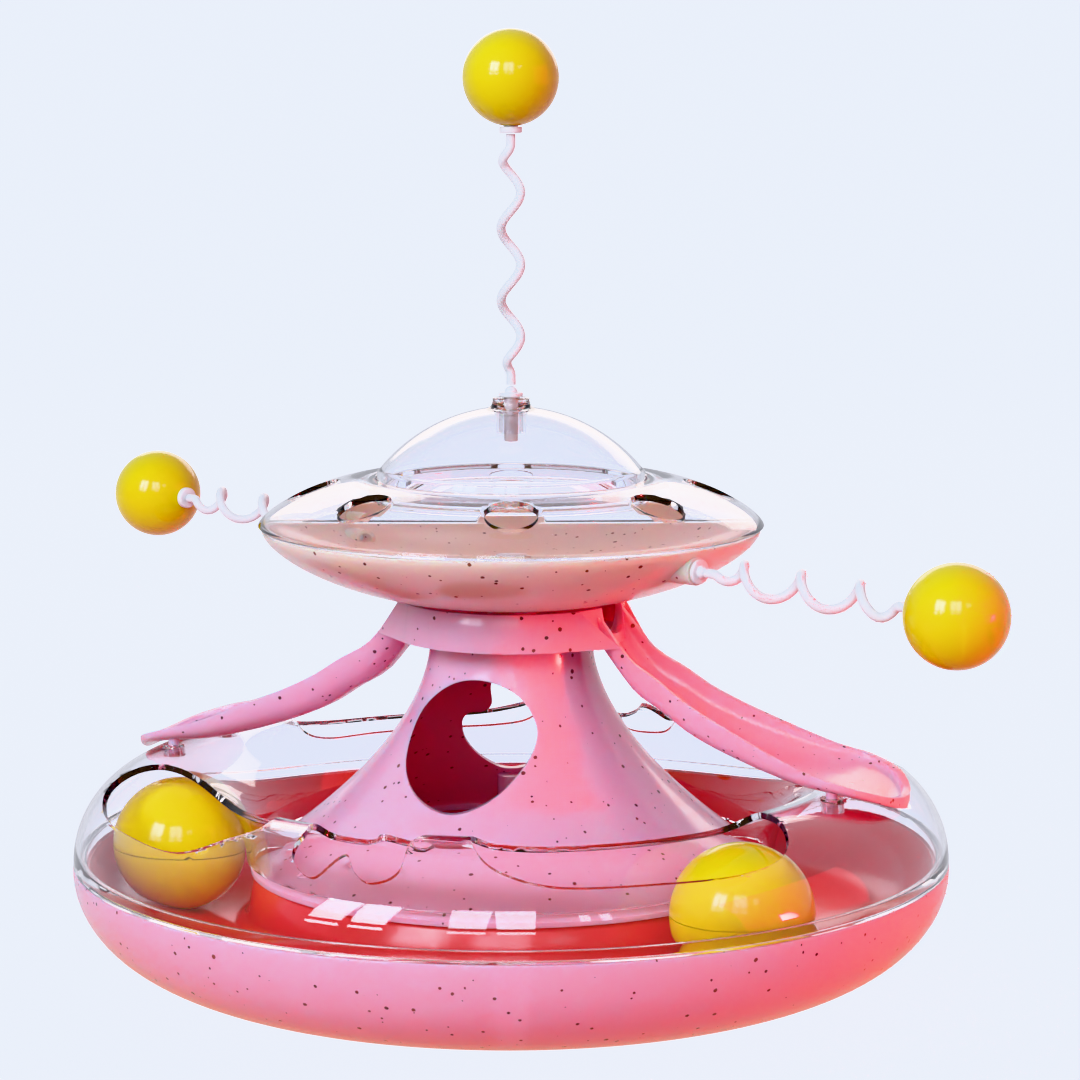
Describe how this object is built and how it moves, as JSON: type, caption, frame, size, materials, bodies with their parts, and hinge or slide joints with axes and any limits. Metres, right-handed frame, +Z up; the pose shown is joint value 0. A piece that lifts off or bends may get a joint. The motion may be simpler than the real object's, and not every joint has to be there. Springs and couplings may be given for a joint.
{
  "type": "cat ball track toy",
  "caption": "Round cat toy: a covered ball track in a shallow bowl, a windowed cone with two slides, and a turning saucer with a clear dome and springy wands tipped with balls.",
  "frame": {"origin": "centre of the toy at the flat underside of the foot ring, where it stands on the floor", "axes": "+Z up along the toy's axis, -Y towards the viewer of the picture, +X to the viewer's right, where one slide comes down"},
  "size_m": [0.2598, 0.2649, 0.2764],
  "materials": {
    "speckled_pink_plastic": "glossy pink with sparse dark specks",
    "pink_red_plastic": "glossy pinkish red",
    "speckled_cream_plastic": "glossy cream with sparse dark specks",
    "clear_plastic": "clear colourless polycarbonate",
    "white_plastic": "satin white",
    "yellow_plastic": "glossy yellow",
    "steel": "plain zinc-plated steel"
  },
  "bodies": {
    "base": {"base_bowl": "speckled_pink_plastic", "track_tray": "pink_red_plastic", "cone_column": "speckled_pink_plastic", "column_screw_1": "steel", "column_screw_2": "steel", "column_screw_3": "steel", "track_cover": "clear_plastic", "slide_ramp": "speckled_pink_plastic", "pivot_pin": "steel", "thrust_washer": "white_plastic", "retaining_washer": "steel", "pivot_cap": "white_plastic"},
    "saucer": {"ufo_dish": "speckled_cream_plastic", "ufo_clear_disc": "clear_plastic"},
    "dome": {"ufo_dome": "clear_plastic"},
    "top_wand_plug": {"top_wand_socket_plug": "white_plastic"},
    "top_wand_arm": {"top_wand_spring": "white_plastic", "top_wand_ball_plug": "white_plastic", "top_wand_ball": "yellow_plastic"},
    "right_wand_plug": {"right_wand_socket_plug": "white_plastic"},
    "right_wand_arm": {"right_wand_spring": "white_plastic", "right_wand_ball_plug": "white_plastic", "right_wand_ball": "yellow_plastic"},
    "left_wand_plug": {"left_wand_socket_plug": "white_plastic"},
    "left_wand_arm": {"left_wand_spring": "white_plastic", "left_wand_ball_plug": "white_plastic", "left_wand_ball": "yellow_plastic"},
    "right_track_ball": {"right_track_ball_upper_half": "yellow_plastic", "right_track_ball_lower_half": "yellow_plastic"},
    "left_track_ball": {"left_track_ball_upper_half": "yellow_plastic", "left_track_ball_lower_half": "yellow_plastic"}
  },
  "joints": [
    {"name": "saucer_spin", "type": "hinge", "parent": "base", "child": "saucer", "pos_m": [0, 0, 0.11], "axis": [0, 0, 1], "continuous": true},
    {"name": "dome_lift", "type": "slide", "parent": "saucer", "child": "dome", "axis": [0, 0, 1], "range_m": [0, 0.06]},
    {"name": "top_wand_twist", "type": "hinge", "parent": "dome", "child": "top_wand_plug", "pos_m": [0, 0, 0.1714], "axis": [0, 0, 1], "continuous": true},
    {"name": "top_wand_sway", "type": "hinge", "parent": "top_wand_plug", "child": "top_wand_arm", "pos_m": [0, 0, 0.1714], "axis": [1, 0, 0], "range_deg": [-22, 22], "stiffness_Nm_per_rad": 0.08},
    {"name": "right_wand_twist", "type": "hinge", "parent": "saucer", "child": "right_wand_plug", "pos_m": [0.05275, -0.05275, 0.126], "axis": [0.7071, -0.7071, 0], "continuous": true},
    {"name": "right_wand_sway", "type": "hinge", "parent": "right_wand_plug", "child": "right_wand_arm", "pos_m": [0.05275, -0.05275, 0.126], "axis": [0.7071, 0.7071, 0], "range_deg": [-22, 22], "stiffness_Nm_per_rad": 0.08},
    {"name": "left_wand_twist", "type": "hinge", "parent": "saucer", "child": "left_wand_plug", "pos_m": [-0.05275, 0.05275, 0.126], "axis": [-0.7071, 0.7071, 0], "continuous": true},
    {"name": "left_wand_sway", "type": "hinge", "parent": "left_wand_plug", "child": "left_wand_arm", "pos_m": [-0.05275, 0.05275, 0.126], "axis": [-0.7071, -0.7071, 0], "range_deg": [-22, 22], "stiffness_Nm_per_rad": 0.08},
    {"name": "right_ball_travel", "type": "hinge", "parent": "base", "child": "right_track_ball", "pos_m": [0, 0, 0.0348], "axis": [0, 0, 1], "range_deg": [-54, 100]},
    {"name": "left_ball_travel", "type": "hinge", "parent": "base", "child": "left_track_ball", "pos_m": [0, 0, 0.0348], "axis": [0, 0, 1], "range_deg": [-100, 54]}
  ]
}
